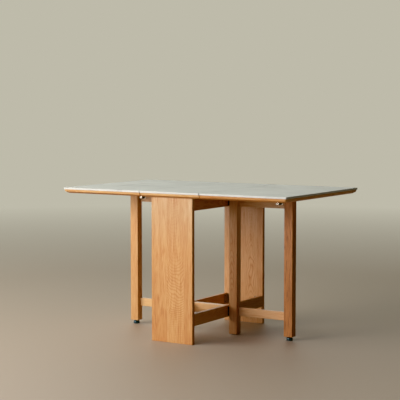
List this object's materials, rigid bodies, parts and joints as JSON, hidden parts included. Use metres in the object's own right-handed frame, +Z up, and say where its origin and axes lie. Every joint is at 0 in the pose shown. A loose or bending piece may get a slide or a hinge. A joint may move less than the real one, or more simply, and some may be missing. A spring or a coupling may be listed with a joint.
{
  "type": "gateleg dining table",
  "caption": "Oak gateleg dining table with a pale stone top: fixed centre panel on slab legs, hinged leaves at its sides and folding gates that carry them.",
  "frame": {"origin": "on the floor, under the middle of the open table", "axes": "+X along the open length, from seam to seam; +Z up; -Y is the side that both gates fold towards"},
  "size_m": [1.3, 0.78, 0.75],
  "materials": {
    "oak": "satin",
    "pale_stone": "satin",
    "black_steel": "satin",
    "bright_steel": "satin",
    "black_plastic": "gloss",
    "dark_nylon": "matte"
  },
  "bodies": {
    "base": {"centre_stone": "pale_stone", "centre_board": "oak", "front_slab": "oak", "rear_slab": "oak", "left_apron": "oak", "right_apron": "oak", "left_stretcher": "oak", "right_stretcher": "oak", "upper_cross_rail": "oak", "lower_cross_rail": "oak", "left_leaf_hinge_front_fixed_plate": "black_steel", "left_leaf_hinge_front_pin": "black_steel", "left_leaf_hinge_rear_fixed_plate": "black_steel", "left_leaf_hinge_rear_pin": "black_steel", "right_leaf_hinge_front_fixed_plate": "black_steel", "right_leaf_hinge_front_pin": "black_steel", "right_leaf_hinge_rear_fixed_plate": "black_steel", "right_leaf_hinge_rear_pin": "black_steel", "left_gate_hinge_upper_frame_plate": "black_steel", "left_gate_hinge_upper_pin": "black_steel", "left_gate_hinge_lower_frame_plate": "black_steel", "left_gate_hinge_lower_pin": "black_steel", "right_gate_hinge_upper_frame_plate": "black_steel", "right_gate_hinge_upper_pin": "black_steel", "right_gate_hinge_lower_frame_plate": "black_steel", "right_gate_hinge_lower_pin": "black_steel", "front_left_bracket": "bright_steel", "front_right_bracket": "bright_steel", "rear_left_bracket": "bright_steel", "rear_right_bracket": "bright_steel"},
    "left_leaf": {"left_leaf_stone": "pale_stone", "left_leaf_board": "oak", "left_leaf_hinge_front_leaf_plate": "black_steel", "left_leaf_hinge_rear_leaf_plate": "black_steel"},
    "right_leaf": {"right_leaf_stone": "pale_stone", "right_leaf_board": "oak", "right_leaf_hinge_front_leaf_plate": "black_steel", "right_leaf_hinge_rear_leaf_plate": "black_steel"},
    "left_gate": {"left_gate_post": "oak", "left_gate_leg": "oak", "left_gate_upper_rail": "oak", "left_gate_lower_rail": "oak", "left_post_glide": "dark_nylon", "left_foot_insert": "bright_steel", "left_support_pad": "dark_nylon", "left_gate_catch": "black_plastic", "left_gate_hinge_upper_post_plate": "black_steel", "left_gate_hinge_lower_post_plate": "black_steel"},
    "right_gate": {"right_gate_post": "oak", "right_gate_leg": "oak", "right_gate_upper_rail": "oak", "right_gate_lower_rail": "oak", "right_post_glide": "dark_nylon", "right_foot_insert": "bright_steel", "right_support_pad": "dark_nylon", "right_gate_catch": "black_plastic", "right_gate_hinge_upper_post_plate": "black_steel", "right_gate_hinge_lower_post_plate": "black_steel"},
    "left_leveller": {"left_foot": "black_plastic"},
    "right_leveller": {"right_foot": "black_plastic"}
  },
  "joints": [
    {"name": "left_gate_fold", "type": "hinge", "parent": "base", "child": "left_gate", "pos_m": [-0.1225, -0.023, 0.4], "axis": [0, 0, 1], "range_deg": [0, 90]},
    {"name": "right_gate_fold", "type": "hinge", "parent": "base", "child": "right_gate", "pos_m": [0.1225, -0.023, 0.4], "axis": [0, 0, -1], "range_deg": [0, 90]},
    {"name": "left_leaf_drop", "type": "hinge", "parent": "base", "child": "left_leaf", "pos_m": [-0.1735, 0, 0.7192], "axis": [0, -1, 0], "range_deg": [-3, 0]},
    {"name": "right_leaf_drop", "type": "hinge", "parent": "base", "child": "right_leaf", "pos_m": [0.1735, 0, 0.7192], "axis": [0, 1, 0], "range_deg": [-3, 0]},
    {"name": "left_foot_turn", "type": "hinge", "parent": "left_gate", "child": "left_leveller", "pos_m": [-0.4655, 0, 0.02], "axis": [0, 0, 1], "continuous": true},
    {"name": "right_foot_turn", "type": "hinge", "parent": "right_gate", "child": "right_leveller", "pos_m": [0.4655, 0, 0.02], "axis": [0, 0, 1], "continuous": true}
  ]
}
